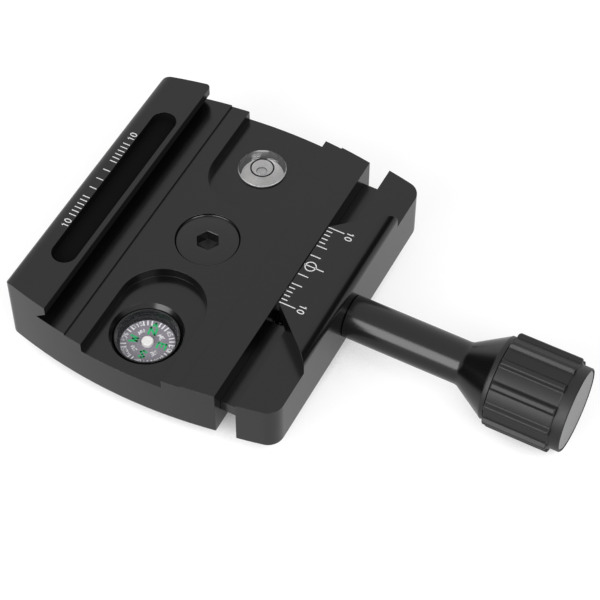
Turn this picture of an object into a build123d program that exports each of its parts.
from build123d import *
import math
import os

# Dovetail quick release clamp with a screw knob, a round bubble level and a button compass.
# Millimetres, +Z up. The origin is on the mounting screw's axis, in the plane of the underside.
# The fixed jaw is on the -X side, the moving jaw and its knob are on the +X side.

os.makedirs("parts", exist_ok=True)

# Clearances
slide_clearance = 0.10
shaft_clearance = 0.05
seat_clearance = 0.02
face_clearance = 0.05

# Dovetail: the plate that the clamp takes, and the lip that both jaws have
closed_width = 37.9
lip_height = 4.4
lip_nose_height = 1.9
lip_overhang = 2.5

# Base plate outline: its front and back ends are shallow arcs
seat_height = 11.0
seat_right = 18.9
jaw_wall = 7.8
end_radius = 102.0
end_peak_y = 32.9
end_peak_x = 1.1
end_corner_round = 0.5
jaw_corner_round = 1.6
front_corner_round = 2.0
jaw_top_round = 2.3
nose_end_round = 0.9
bottom_break = 0.6

# Slot in the top of the fixed jaw
slot_length = 41.8
slot_width = 5.1
slot_depth = 1.8
slot_wall = 1.0

# Middle field of the seat, and the two finger recesses that hold the level and the compass
relief_half_width = 12.3
relief_depth = 0.4
recess_half_width = 8.55
recess_inset = 15.2
recess_depth = 2.6

# Mounting screw: countersunk, with a hexagon socket, a plain shank and a thread below the plate
mount_thread_d = 6.0
mount_thread_start = 0.2
mount_shank_d = 5.4
mount_hole_d = 6.6
mount_head_d = 12.1
mount_head_rim = 0.3
mount_head_sink = 0.3
mount_head_gap = 0.25
mount_screw_length = 14.0
mount_socket_size = 4.0
mount_socket_depth = 2.4

# Bubble level
level_inset = 11.0
level_d = 9.6
level_height = 4.9
level_stand = 0.5
level_wall = 0.7
level_dome_rise = 0.25
level_roof = 1.0
level_plug_height = 1.0
level_bubble_d = 2.3
level_bubble_height = 0.35

# Compass
compass_inset = 9.7
compass_mouth_margin = 0.95
compass_mouth_depth = 1.3
compass_case_d = 12.3
compass_case_sink = 0.8
compass_case_height = 4.9
compass_case_wall = 0.5
compass_case_floor = 0.6
compass_rim_slope = 1.0
compass_lens_edge = 0.5
compass_lens_rise = 0.35
compass_lens_gap = 0.2
dial_margin = 0.45
dial_thickness = 0.35
dial_sink = 3.0
magnet_length = 7.0
magnet_width = 2.2
magnet_thickness = 0.8
pivot_d = 0.8
pivot_foot_d = 2.0
pivot_foot_height = 0.3
pivot_play = 0.05
hub_cap_d = 2.3
hub_cap_height = 0.8

# Moving jaw, drawn with the gap that stands open between it and the base plate
opening = 4.3
closed_gap = 0.1
jaw_thickness = 7.6
jaw_side_round = 3.2
lip_half_length = 10.0
lip_flare = 0.92
lip_top_round = 2.6

# Tongues of the moving jaw, and the pocket in the base plate that they slide in
tongue_thickness = 2.5
tongue_inset = 3.7
tongue_inner_y = 9.0
tongue_reach = 10.4
axis_height = 5.55

# Guide pins and the springs round them, which push the moving jaw open
guide_pin_y = 6.5
guide_pin_d = 2.0
guide_pin_seat = 4.5
guide_pin_tip_gap = 1.0
spring_outer_d = 3.4
spring_wire_d = 0.45
spring_turns = 6
spring_bore_depth = 8.4

# Clamp screw and its retaining ring
screw_d = 6.0
screw_reach = 9.6
screw_tip_gap = 0.2
ring_outer_d = 8.6
ring_groove_d = 4.6
ring_thickness = 0.7
ring_mouth = 4.0
ring_recess_d = 9.4
ring_recess_depth = 1.5

# Knob: a slim neck, a cone, a collar, a fluted grip and a plain end band with a light disc in it
neck_d = 8.5
neck_length = 23.8
cone_length = 6.3
collar_d = 16.5
collar_length = 1.0
grip_d = 18.7
grip_length = 12.8
grip_edge = 0.5
flute_count = 12
flute_radius = 4.0
flute_depth = 0.8
band_margin = 1.1
band_length = 2.1
band_edge = 0.15
band_wall = 0.35
nut_size = 10.0
nut_height = 4.0
nut_turn_gap = 0.05
cap_thickness = 1.2
cap_sink = 0.1
cap_edge = 0.2

# Places worked out from the sizes above
jaw_height = seat_height + lip_height
root_left = seat_right - closed_width
nose_left = root_left + lip_overhang
outer_left = root_left - jaw_wall
jaw_left = seat_right + opening
nose_right = jaw_left - lip_overhang
jaw_right = jaw_left + jaw_thickness
relief_z = seat_height - relief_depth
recess_z = relief_z + relief_depth - recess_depth
lip_flare_y = lip_half_length + (jaw_right - nose_right) * lip_flare
recess_arc_y = end_peak_y - recess_inset
level_y = end_peak_y - level_inset
compass_y = compass_inset - end_peak_y
tongue_end_y = end_peak_y - tongue_inset
compass_mouth_d = compass_case_d + 2 * compass_mouth_margin
dial_d = compass_case_d - 2 * (compass_case_wall + dial_margin)
band_d = grip_d - 2 * band_margin
cap_d = band_d - 2 * band_wall


def end_y(x):
    """Half length of the clamp at x, when the jaws are shut."""
    drop = end_radius - math.sqrt(end_radius**2 - (x - end_peak_x) ** 2)
    return end_peak_y - drop


def dome(radius, edge_z, rise):
    """Draws a shallow arc from the edge of a dome to its top on the axis."""
    ball_r = (radius**2 + rise**2) / (2 * rise)
    half_turn = math.asin(radius / ball_r) / 2
    middle = (ball_r * math.sin(half_turn), edge_z + rise - ball_r * (1 - math.cos(half_turn)))
    ThreePointArc((radius, edge_z), middle, (0, edge_z + rise))


def outline(x_low, x_high, shift=0.0):
    """Draws the outline between two sides, with the arcs of the ends moved by shift along X."""
    x_mid = (x_low + x_high) / 2
    ends = [(x, end_y(x - shift)) for x in (x_low, x_mid, x_high)]
    front = [(x, -y) for x, y in ends]
    ThreePointArc(ends[0], ends[1], ends[2])
    Line(ends[2], front[2])
    ThreePointArc(front[2], front[1], front[0])
    Line(front[0], ends[0])


# Base plate: one milled block with the fixed jaw, the seat and everything that is sunk into it
with BuildPart() as base_plate:
    # Side profile: outer wall, fixed jaw with its 45 degree undercut, and seat
    with BuildSketch(Plane.XZ) as side_profile:
        with BuildLine():
            Polyline(
                (outer_left, 0),
                (outer_left, jaw_height),
                (nose_left, jaw_height),
                (nose_left, jaw_height - lip_nose_height),
                (root_left, seat_height),
                (seat_right, seat_height),
                (seat_right, 0),
                close=True,
            )
        make_face()
        outer_corners = side_profile.vertices().group_by(Axis.X)[0].sort_by(Axis.Y)
        fillet(outer_corners[-1], radius=jaw_top_round)
        outer_corners = side_profile.vertices().group_by(Axis.X)[0].sort_by(Axis.Y)
        chamfer(outer_corners[0], length=bottom_break)
    extrude(amount=end_peak_y + end_corner_round, both=True)

    # Plan outline, with soft corners on the outer side
    with BuildSketch() as plan:
        with BuildLine():
            outline(outer_left, seat_right)
        make_face()
        plan_corners = plan.vertices().group_by(Axis.X)[0].sort_by(Axis.Y)
        fillet(plan_corners[-1], radius=jaw_corner_round)
        plan_corners = plan.vertices().group_by(Axis.X)[0].sort_by(Axis.Y)
        fillet(plan_corners[0], radius=front_corner_round)
    extrude(amount=jaw_height, mode=Mode.INTERSECT)
    nose_ends = base_plate.edges().filter_by(Axis.Z).group_by(Axis.Z)[-1]
    nose_ends = nose_ends.group_by(Axis.X)[-1]
    fillet(nose_ends.sort_by(Axis.Y)[-1], radius=nose_end_round)

    # Slot in the top of the fixed jaw
    with BuildSketch(Plane.XY.offset(jaw_height)):
        with Locations((nose_left - slot_wall - slot_width / 2, 0)):
            SlotOverall(slot_length, slot_width, rotation=90)
    extrude(amount=-slot_depth, mode=Mode.SUBTRACT)

    # Middle field, a shade lower than the two strips that carry the plate
    with BuildSketch(Plane.XY.offset(seat_height)):
        Rectangle(2 * relief_half_width, 2 * end_peak_y)
    extrude(amount=-relief_depth, mode=Mode.SUBTRACT)

    # Recesses, open towards the front and back ends
    with BuildSketch(Plane.XY.offset(relief_z)):
        for side in (-1, 1):
            with Locations((0, side * recess_arc_y)):
                Circle(recess_half_width)
            with Locations((0, side * (recess_arc_y + end_peak_y) / 2)):
                Rectangle(2 * recess_half_width, end_peak_y - recess_arc_y)
    extrude(amount=recess_z - relief_z, mode=Mode.SUBTRACT)

    # Hole for the mounting screw, with a seat for its countersunk head
    head_top_z = relief_z - mount_head_sink
    cone_top_z = head_top_z - mount_head_rim
    hole_top_z = cone_top_z - (mount_head_d - mount_hole_d) / 2
    with BuildSketch(Plane.XZ):
        with BuildLine():
            Polyline(
                (0, relief_z),
                (mount_head_d / 2 + mount_head_gap, relief_z),
                (mount_head_d / 2 + mount_head_gap, cone_top_z + mount_head_gap - seat_clearance),
                (mount_hole_d / 2, hole_top_z - seat_clearance),
                (mount_hole_d / 2, 0),
                (0, 0),
                close=True,
            )
        make_face()
    revolve(axis=Axis.Z, mode=Mode.SUBTRACT)

    # Round pocket for the bubble level
    level_top_z = recess_z + level_stand
    level_base_z = level_top_z - level_height
    with BuildSketch(Plane.XY.offset(level_base_z - seat_clearance)):
        with Locations((0, level_y)):
            Circle(level_d / 2 + seat_clearance)
    extrude(until=Until.LAST, mode=Mode.SUBTRACT)

    # Stepped pocket for the compass, wide and sloping at its mouth
    compass_rim_z = recess_z - compass_case_sink
    compass_base_z = compass_rim_z - compass_case_height
    with BuildSketch(Plane.XY.offset(compass_base_z - seat_clearance)):
        with Locations((0, compass_y)):
            Circle(compass_case_d / 2 + seat_clearance)
    extrude(until=Until.LAST, mode=Mode.SUBTRACT)
    with BuildSketch(Plane.XY.offset(recess_z)):
        with Locations((0, compass_y)):
            Circle(compass_mouth_d / 2)
    with BuildSketch(Plane.XY.offset(recess_z - compass_mouth_depth)):
        with Locations((0, compass_y)):
            Circle(compass_case_d / 2 + seat_clearance)
    loft(mode=Mode.SUBTRACT)

    # Pockets for the two tongues of the moving jaw
    tongue_tip_x = jaw_left - tongue_reach
    pocket_end_x = tongue_tip_x - (opening - closed_gap) - slide_clearance
    for side in (-1, 1):
        with BuildSketch(Plane.YZ.offset(pocket_end_x)):
            with Locations((side * (tongue_end_y + tongue_inner_y) / 2, axis_height)):
                Rectangle(
                    tongue_end_y - tongue_inner_y + 2 * slide_clearance,
                    tongue_thickness + 2 * slide_clearance,
                )
        extrude(amount=seat_right - pocket_end_x, mode=Mode.SUBTRACT)

    # Tapped hole for the clamp screw, and blind holes for the guide pins and springs
    screw_bore_end_x = screw_reach - (opening - closed_gap) - screw_tip_gap
    with BuildSketch(Plane.YZ.offset(seat_right)):
        with Locations((0, axis_height)):
            Circle(screw_d / 2 + shaft_clearance)
    extrude(amount=screw_bore_end_x - seat_right, mode=Mode.SUBTRACT)
    with BuildSketch(Plane.YZ.offset(seat_right)):
        with Locations((-guide_pin_y, axis_height), (guide_pin_y, axis_height)):
            Circle(spring_outer_d / 2 + slide_clearance)
    extrude(amount=-spring_bore_depth, mode=Mode.SUBTRACT)
    pin_tip_x = seat_right - spring_bore_depth - guide_pin_tip_gap
    pin_bore_end_x = pin_tip_x - opening
    with BuildSketch(Plane.YZ.offset(seat_right)):
        with Locations((-guide_pin_y, axis_height), (guide_pin_y, axis_height)):
            Circle(guide_pin_d / 2 + shaft_clearance)
    extrude(amount=pin_bore_end_x - seat_right, mode=Mode.SUBTRACT)
base_plate.part.label = "base_plate"

# Mounting screw: countersunk head with a hexagon socket, its thread standing out below the plate
shank_top_z = cone_top_z - (mount_head_d - mount_shank_d) / 2
screw_foot_z = head_top_z - mount_screw_length
with BuildPart() as mount_screw:
    with BuildSketch(Plane.XZ):
        with BuildLine():
            Polyline(
                (0, head_top_z),
                (mount_head_d / 2, head_top_z),
                (mount_head_d / 2, cone_top_z),
                (mount_shank_d / 2, shank_top_z),
                (mount_shank_d / 2, -mount_thread_start),
                (mount_thread_d / 2, -mount_thread_start),
                (mount_thread_d / 2, screw_foot_z + bottom_break),
                (mount_thread_d / 2 - bottom_break, screw_foot_z),
                (0, screw_foot_z),
                close=True,
            )
        make_face()
    revolve(axis=Axis.Z)
    with BuildSketch(Plane.XY.offset(head_top_z)):
        RegularPolygon(mount_socket_size / 2, 6, major_radius=False)
    extrude(amount=-mount_socket_depth, mode=Mode.SUBTRACT)
mount_screw.part.label = "mount_screw"

# Bubble level: a clear turned vial with a domed inner roof, closed from below by a white plug
level_inner_r = level_d / 2 - level_wall
level_roof_z = level_top_z - level_roof
level_plug_top_z = level_base_z + level_plug_height
level_origin = (0, level_y, 0)
level_plane = Plane(origin=level_origin, x_dir=(1, 0, 0), z_dir=(0, -1, 0))
level_axis = Axis(level_origin, (0, 0, 1))
with BuildPart() as level_vial:
    with BuildSketch(level_plane):
        with BuildLine():
            Line((0, level_top_z), (level_d / 2 - level_dome_rise, level_top_z))
            Line((level_d / 2 - level_dome_rise, level_top_z), (level_d / 2, level_top_z - level_dome_rise))
            Line((level_d / 2, level_top_z - level_dome_rise), (level_d / 2, level_base_z))
            Line((level_d / 2, level_base_z), (level_inner_r, level_base_z))
            Line((level_inner_r, level_base_z), (level_inner_r, level_roof_z - level_dome_rise))
            dome(level_inner_r, level_roof_z - level_dome_rise, level_dome_rise)
            Line((0, level_roof_z), (0, level_top_z))
        make_face()
    revolve(axis=level_axis)
level_vial.part.label = "level_vial"

with BuildPart() as level_plug:
    with BuildSketch(Plane.XY.offset(level_base_z)):
        with Locations((0, level_y)):
            Circle(level_inner_r)
    extrude(amount=level_plug_height)
level_plug.part.label = "level_plug"

# The liquid fills the vial, apart from a flat bubble under the middle of the dome
bubble_r = level_bubble_d / 2
with BuildPart() as level_liquid:
    with BuildSketch(level_plane):
        with BuildLine():
            Line((0, level_plug_top_z), (level_inner_r, level_plug_top_z))
            Line((level_inner_r, level_plug_top_z), (level_inner_r, level_roof_z - level_dome_rise))
            dome(level_inner_r, level_roof_z - level_dome_rise, level_dome_rise)
            Line((0, level_roof_z), (0, level_plug_top_z))
        make_face()
    revolve(axis=level_axis)
    with BuildSketch(Plane.XY.offset(level_roof_z - level_bubble_height)):
        with Locations((0, level_y)):
            Circle(bubble_r)
    extrude(amount=level_bubble_height, mode=Mode.SUBTRACT)
level_liquid.part.label = "level_liquid"

# Compass: a black cup, a clear lens, and a card that turns on a steel point
compass_origin = (0, compass_y, 0)
compass_plane = Plane(origin=compass_origin, x_dir=(1, 0, 0), z_dir=(0, -1, 0))
compass_axis = Axis(compass_origin, (0, 0, 1))
case_r = compass_case_d / 2
case_inner_r = case_r - compass_case_wall
case_floor_z = compass_base_z + compass_case_floor
dial_top_z = recess_z - dial_sink
lens_seat_z = dial_top_z + hub_cap_height + compass_lens_gap
lens_edge_z = lens_seat_z + compass_lens_edge
with BuildPart() as compass_case:
    with BuildSketch(compass_plane):
        with BuildLine():
            Polyline(
                (0, compass_base_z),
                (case_r, compass_base_z),
                (case_r, compass_rim_z),
                (case_r - compass_case_wall / 2, compass_rim_z),
                (case_inner_r, compass_rim_z - compass_rim_slope),
                (case_inner_r, case_floor_z),
                (0, case_floor_z),
                close=True,
            )
        make_face()
    revolve(axis=compass_axis)
compass_case.part.label = "compass_case"

lens_r = case_inner_r - seat_clearance
with BuildPart() as compass_lens:
    with BuildSketch(compass_plane):
        with BuildLine():
            Line((0, lens_seat_z), (lens_r, lens_seat_z))
            Line((lens_r, lens_seat_z), (lens_r, lens_edge_z))
            dome(lens_r, lens_edge_z, compass_lens_rise)
            Line((0, lens_edge_z + compass_lens_rise), (0, lens_seat_z))
        make_face()
    revolve(axis=compass_axis)
compass_lens.part.label = "compass_lens"

dial_base_z = dial_top_z - dial_thickness
magnet_base_z = dial_base_z - magnet_thickness
pivot_tip_z = dial_base_z - pivot_play
with BuildPart() as compass_pivot:
    with BuildSketch(compass_plane):
        with BuildLine():
            Polyline(
                (0, case_floor_z),
                (pivot_foot_d / 2, case_floor_z),
                (pivot_foot_d / 2, case_floor_z + pivot_foot_height),
                (pivot_d / 2, case_floor_z + pivot_foot_height),
                (pivot_d / 2, pivot_tip_z - pivot_d / 2),
                (0, pivot_tip_z),
                close=True,
            )
        make_face()
    revolve(axis=compass_axis)
compass_pivot.part.label = "compass_pivot"

with BuildPart() as compass_magnet:
    with BuildSketch(Plane.XY.offset(magnet_base_z)):
        with Locations((0, compass_y)):
            SlotOverall(magnet_length, magnet_width)
            Circle(pivot_d / 2 + slide_clearance, mode=Mode.SUBTRACT)
    extrude(amount=magnet_thickness)
compass_magnet.part.label = "compass_magnet"

with BuildPart() as compass_dial:
    with BuildSketch(Plane.XY.offset(dial_base_z)):
        with Locations((0, compass_y)):
            Circle(dial_d / 2)
    extrude(amount=dial_thickness)
compass_dial.part.label = "compass_dial"

with BuildPart() as compass_hub_cap:
    with BuildSketch(Plane.XY.offset(dial_top_z)):
        with Locations((0, compass_y)):
            Circle(hub_cap_d / 2)
    extrude(amount=hub_cap_height)
    fillet(compass_hub_cap.edges().group_by(Axis.Z)[-1], radius=hub_cap_height / 3)
compass_hub_cap.part.label = "compass_hub_cap"

# Moving jaw: block, lip and tongues milled from one piece
with BuildPart() as moving_jaw:
    with BuildSketch():
        with BuildLine():
            outline(jaw_left, jaw_right, shift=opening)
        make_face()
    extrude(amount=seat_height)
    outer_upright = moving_jaw.edges().filter_by(Axis.Z).group_by(Axis.X)[-1]
    fillet(outer_upright, radius=jaw_side_round)

    # Lip: its ends slope back from the nose to the outer face, and it is undercut at 45 degrees
    with BuildSketch(Plane.XY.offset(seat_height)):
        with BuildLine():
            Polyline(
                (nose_right, -lip_half_length),
                (nose_right, lip_half_length),
                (jaw_right, lip_flare_y),
                (jaw_right, -lip_flare_y),
                close=True,
            )
        make_face()
    extrude(amount=lip_height)
    with BuildSketch(Plane.XZ):
        with BuildLine():
            Polyline(
                (nose_right, seat_height),
                (jaw_left, seat_height),
                (nose_right, jaw_height - lip_nose_height),
                close=True,
            )
        make_face()
    extrude(amount=lip_flare_y, both=True, mode=Mode.SUBTRACT)
    lip_outer = moving_jaw.edges().filter_by(Axis.Y).group_by(Axis.Z)[-1].sort_by(Axis.X)[-1]
    fillet(lip_outer, radius=lip_top_round)

    # Tongues that guide the jaw in the base plate
    for side in (-1, 1):
        with BuildSketch(Plane.YZ.offset(jaw_left)):
            with Locations((side * (tongue_end_y + tongue_inner_y) / 2, axis_height)):
                Rectangle(tongue_end_y - tongue_inner_y, tongue_thickness)
        extrude(amount=-tongue_reach)

    # Bore for the clamp screw, recess for its ring, seats for the pins and springs
    with BuildSketch(Plane.YZ.offset(jaw_left)):
        with Locations((0, axis_height)):
            Circle(screw_d / 2 + shaft_clearance)
    extrude(amount=jaw_thickness, mode=Mode.SUBTRACT)
    with BuildSketch(Plane.YZ.offset(jaw_left)):
        with Locations((0, axis_height)):
            Circle(ring_recess_d / 2)
    extrude(amount=ring_recess_depth, mode=Mode.SUBTRACT)
    with BuildSketch(Plane.YZ.offset(jaw_left)):
        with Locations((-guide_pin_y, axis_height), (guide_pin_y, axis_height)):
            Circle(guide_pin_d / 2)
    extrude(amount=guide_pin_seat, mode=Mode.SUBTRACT)
    chamfer(moving_jaw.edges().filter_by(Axis.Y).group_by(Axis.Z)[0].sort_by(Axis.X)[-1], length=bottom_break)
moving_jaw.part.label = "moving_jaw"


def guide_pin(y):
    """A plain pin, pressed into the moving jaw and sliding in the base plate."""
    with BuildPart() as pin:
        with BuildSketch(Plane.YZ.offset(pin_tip_x)):
            with Locations((y, axis_height)):
                Circle(guide_pin_d / 2)
        extrude(amount=jaw_left + guide_pin_seat - pin_tip_x)
    return pin


def jaw_spring(y):
    """A round wire helix about a guide pin, from the bottom of its hole to the moving jaw."""
    start_x = seat_right - spring_bore_depth + spring_wire_d / 2
    end_x = jaw_left - spring_wire_d / 2
    pitch = (end_x - start_x) / spring_turns
    coil_r = (spring_outer_d - spring_wire_d) / 2
    with BuildPart() as spring:
        with BuildLine() as path:
            Helix(pitch, end_x - start_x, coil_r, center=(start_x, y, axis_height), direction=(1, 0, 0))
        with BuildSketch(path.line ^ 0):
            Circle(spring_wire_d / 2)
        sweep(is_frenet=True)
    return spring


guide_pin_front = guide_pin(-guide_pin_y)
guide_pin_front.part.label = "guide_pin_front"
guide_pin_back = guide_pin(guide_pin_y)
guide_pin_back.part.label = "guide_pin_back"
jaw_spring_front = jaw_spring(-guide_pin_y)
jaw_spring_front.part.label = "jaw_spring_front"
jaw_spring_back = jaw_spring(guide_pin_y)
jaw_spring_back.part.label = "jaw_spring_back"

# Clamp screw: it turns in the base plate's thread, and the knob's neck pushes the jaw shut
neck_start_x = jaw_right + face_clearance
cone_start_x = jaw_right + neck_length
collar_start_x = cone_start_x + cone_length
grip_start_x = collar_start_x + collar_length
grip_end_x = grip_start_x + grip_length
band_end_x = grip_end_x + band_length
cap_end_x = band_end_x - cap_sink
cap_start_x = cap_end_x - cap_thickness
cap_seat_x = cap_start_x - seat_clearance
nut_start_x = cap_seat_x - nut_height
screw_end_x = nut_start_x + nut_height
knob_origin = (0, 0, axis_height)
knob_plane = Plane(origin=knob_origin, x_dir=(1, 0, 0), z_dir=(0, -1, 0))
knob_axis = Axis(knob_origin, (1, 0, 0))
ring_x = jaw_left + (ring_recess_depth - ring_thickness) / 2
with BuildPart() as clamp_screw:
    with BuildSketch(knob_plane):
        with BuildLine():
            Polyline(
                (screw_reach, 0),
                (screw_reach, screw_d / 2 - bottom_break),
                (screw_reach + bottom_break, screw_d / 2),
                (ring_x - seat_clearance, screw_d / 2),
                (ring_x - seat_clearance, ring_groove_d / 2),
                (ring_x + ring_thickness + seat_clearance, ring_groove_d / 2),
                (ring_x + ring_thickness + seat_clearance, screw_d / 2),
                (screw_end_x, screw_d / 2),
                (screw_end_x, 0),
                close=True,
            )
        make_face()
    revolve(axis=knob_axis)
clamp_screw.part.label = "clamp_screw"

# Retaining ring: a C-shaped clip in the screw's groove, so that the jaw follows the knob out
with BuildPart() as retaining_ring:
    with BuildSketch(Plane.YZ.offset(ring_x)):
        with Locations((0, axis_height)):
            Circle(ring_outer_d / 2)
            Circle(ring_groove_d / 2 + seat_clearance, mode=Mode.SUBTRACT)
        with Locations((0, axis_height - ring_outer_d / 2)):
            Rectangle(ring_mouth, ring_outer_d, mode=Mode.SUBTRACT)
    extrude(amount=ring_thickness)
retaining_ring.part.label = "retaining_ring"

# Knob, turned from one bar: neck, cone, collar, a grip with open flutes, and the end band
with BuildPart() as knob:
    with BuildSketch(knob_plane):
        with BuildLine():
            Polyline(
                (neck_start_x, screw_d / 2 + seat_clearance),
                (neck_start_x, neck_d / 2),
                (cone_start_x, neck_d / 2),
                (collar_start_x, collar_d / 2),
                (grip_start_x, collar_d / 2),
                (grip_start_x, grip_d / 2 - grip_edge),
                (grip_start_x + grip_edge, grip_d / 2),
                (grip_end_x - grip_edge, grip_d / 2),
                (grip_end_x, grip_d / 2 - grip_edge),
                (grip_end_x, band_d / 2),
                (band_end_x - band_edge, band_d / 2),
                (band_end_x, band_d / 2 - band_edge),
                (band_end_x, cap_d / 2 + seat_clearance),
                (cap_seat_x, cap_d / 2 + seat_clearance),
                (cap_seat_x, screw_d / 2 + seat_clearance),
                close=True,
            )
        make_face()
    revolve(axis=knob_axis)
    flute_centre_r = grip_d / 2 + flute_radius - flute_depth
    with BuildPart(mode=Mode.PRIVATE) as flute:
        with BuildSketch(Plane.YZ.offset(grip_start_x)):
            with Locations((0, axis_height + flute_centre_r)):
                Circle(flute_radius)
        extrude(amount=grip_length)
    for number in range(flute_count):
        turned = flute.part.rotate(knob_axis, 360 / flute_count * number)
        add(turned, mode=Mode.SUBTRACT)
    with BuildSketch(Plane.YZ.offset(nut_start_x)):
        with Locations((0, axis_height)):
            RegularPolygon(nut_size / 2 + nut_turn_gap, 6, major_radius=False)
    extrude(amount=nut_height, mode=Mode.SUBTRACT)
knob.part.label = "knob"

# Lock nut: it holds the screw in the knob, under the end cap
with BuildPart() as knob_nut:
    with BuildSketch(Plane.YZ.offset(nut_start_x)):
        with Locations((0, axis_height)):
            RegularPolygon(nut_size / 2, 6, major_radius=False)
            Circle(screw_d / 2 + seat_clearance, mode=Mode.SUBTRACT)
    extrude(amount=nut_height)
knob_nut.part.label = "knob_nut"

# End cap: a light disc with a soft edge, sunk in the end band
with BuildPart() as knob_end_cap:
    with BuildSketch(knob_plane):
        with BuildLine():
            Polyline(
                (cap_start_x, 0),
                (cap_start_x, cap_d / 2),
                (cap_end_x - cap_edge, cap_d / 2),
                (cap_end_x, cap_d / 2 - cap_edge),
                (cap_end_x, 0),
                close=True,
            )
        make_face()
    revolve(axis=knob_axis)
knob_end_cap.part.label = "knob_end_cap"

pieces = [
    base_plate,
    mount_screw,
    level_vial,
    level_plug,
    level_liquid,
    compass_case,
    compass_lens,
    compass_pivot,
    compass_magnet,
    compass_dial,
    compass_hub_cap,
    moving_jaw,
    guide_pin_front,
    guide_pin_back,
    jaw_spring_front,
    jaw_spring_back,
    clamp_screw,
    retaining_ring,
    knob,
    knob_nut,
    knob_end_cap,
]
for piece in pieces:
    export_step(piece.part, "parts/" + piece.part.label + ".step")
